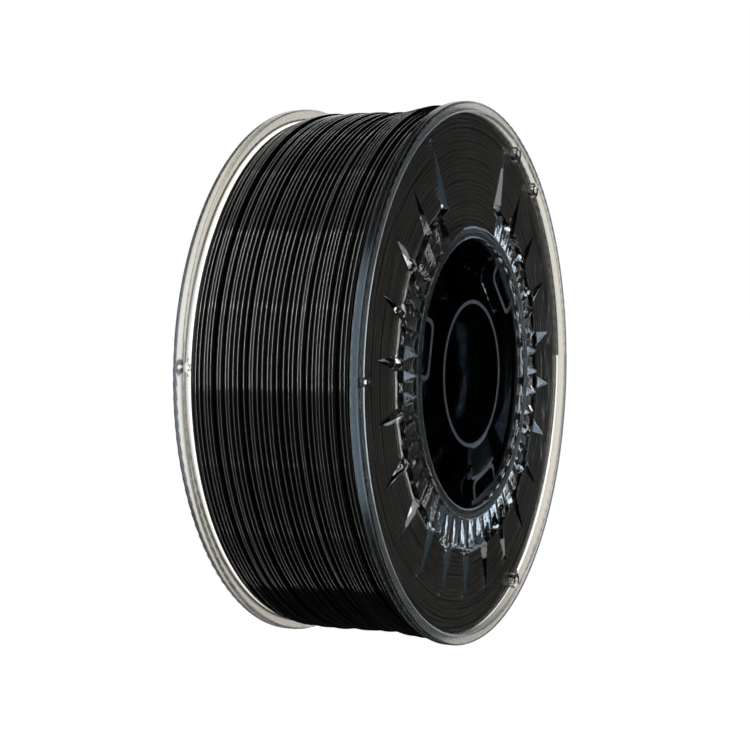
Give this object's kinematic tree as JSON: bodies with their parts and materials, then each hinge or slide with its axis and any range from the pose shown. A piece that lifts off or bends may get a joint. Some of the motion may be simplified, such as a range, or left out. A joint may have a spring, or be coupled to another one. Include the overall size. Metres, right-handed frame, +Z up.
{
  "type": "filament spool",
  "caption": "Clear moulded spool with raised rims, a relief of prisms and rays on each flange and a wide spindle bore, full of round plastic filament wound in level layers.",
  "frame": {"origin": "centre of the spindle bore, in the middle plane between the two flanges", "axes": "+Y along the spool's axis from the front flange to the rear flange, +Z up, +X to the right as seen from the front"},
  "size_m": [0.2, 0.07, 0.2],
  "materials": {
    "clear_flange": "clear glossy polystyrene",
    "clear_core": "clear glossy polystyrene",
    "filament": "smooth black extruded filament, satin gloss"
  },
  "bodies": {
    "root": {"front_flange": "clear_flange", "rear_flange": "clear_flange", "core_barrel": "clear_core", "front_hub": "clear_core", "rear_hub": "clear_core", "filament_winding": "filament"}
  },
  "joints": []
}
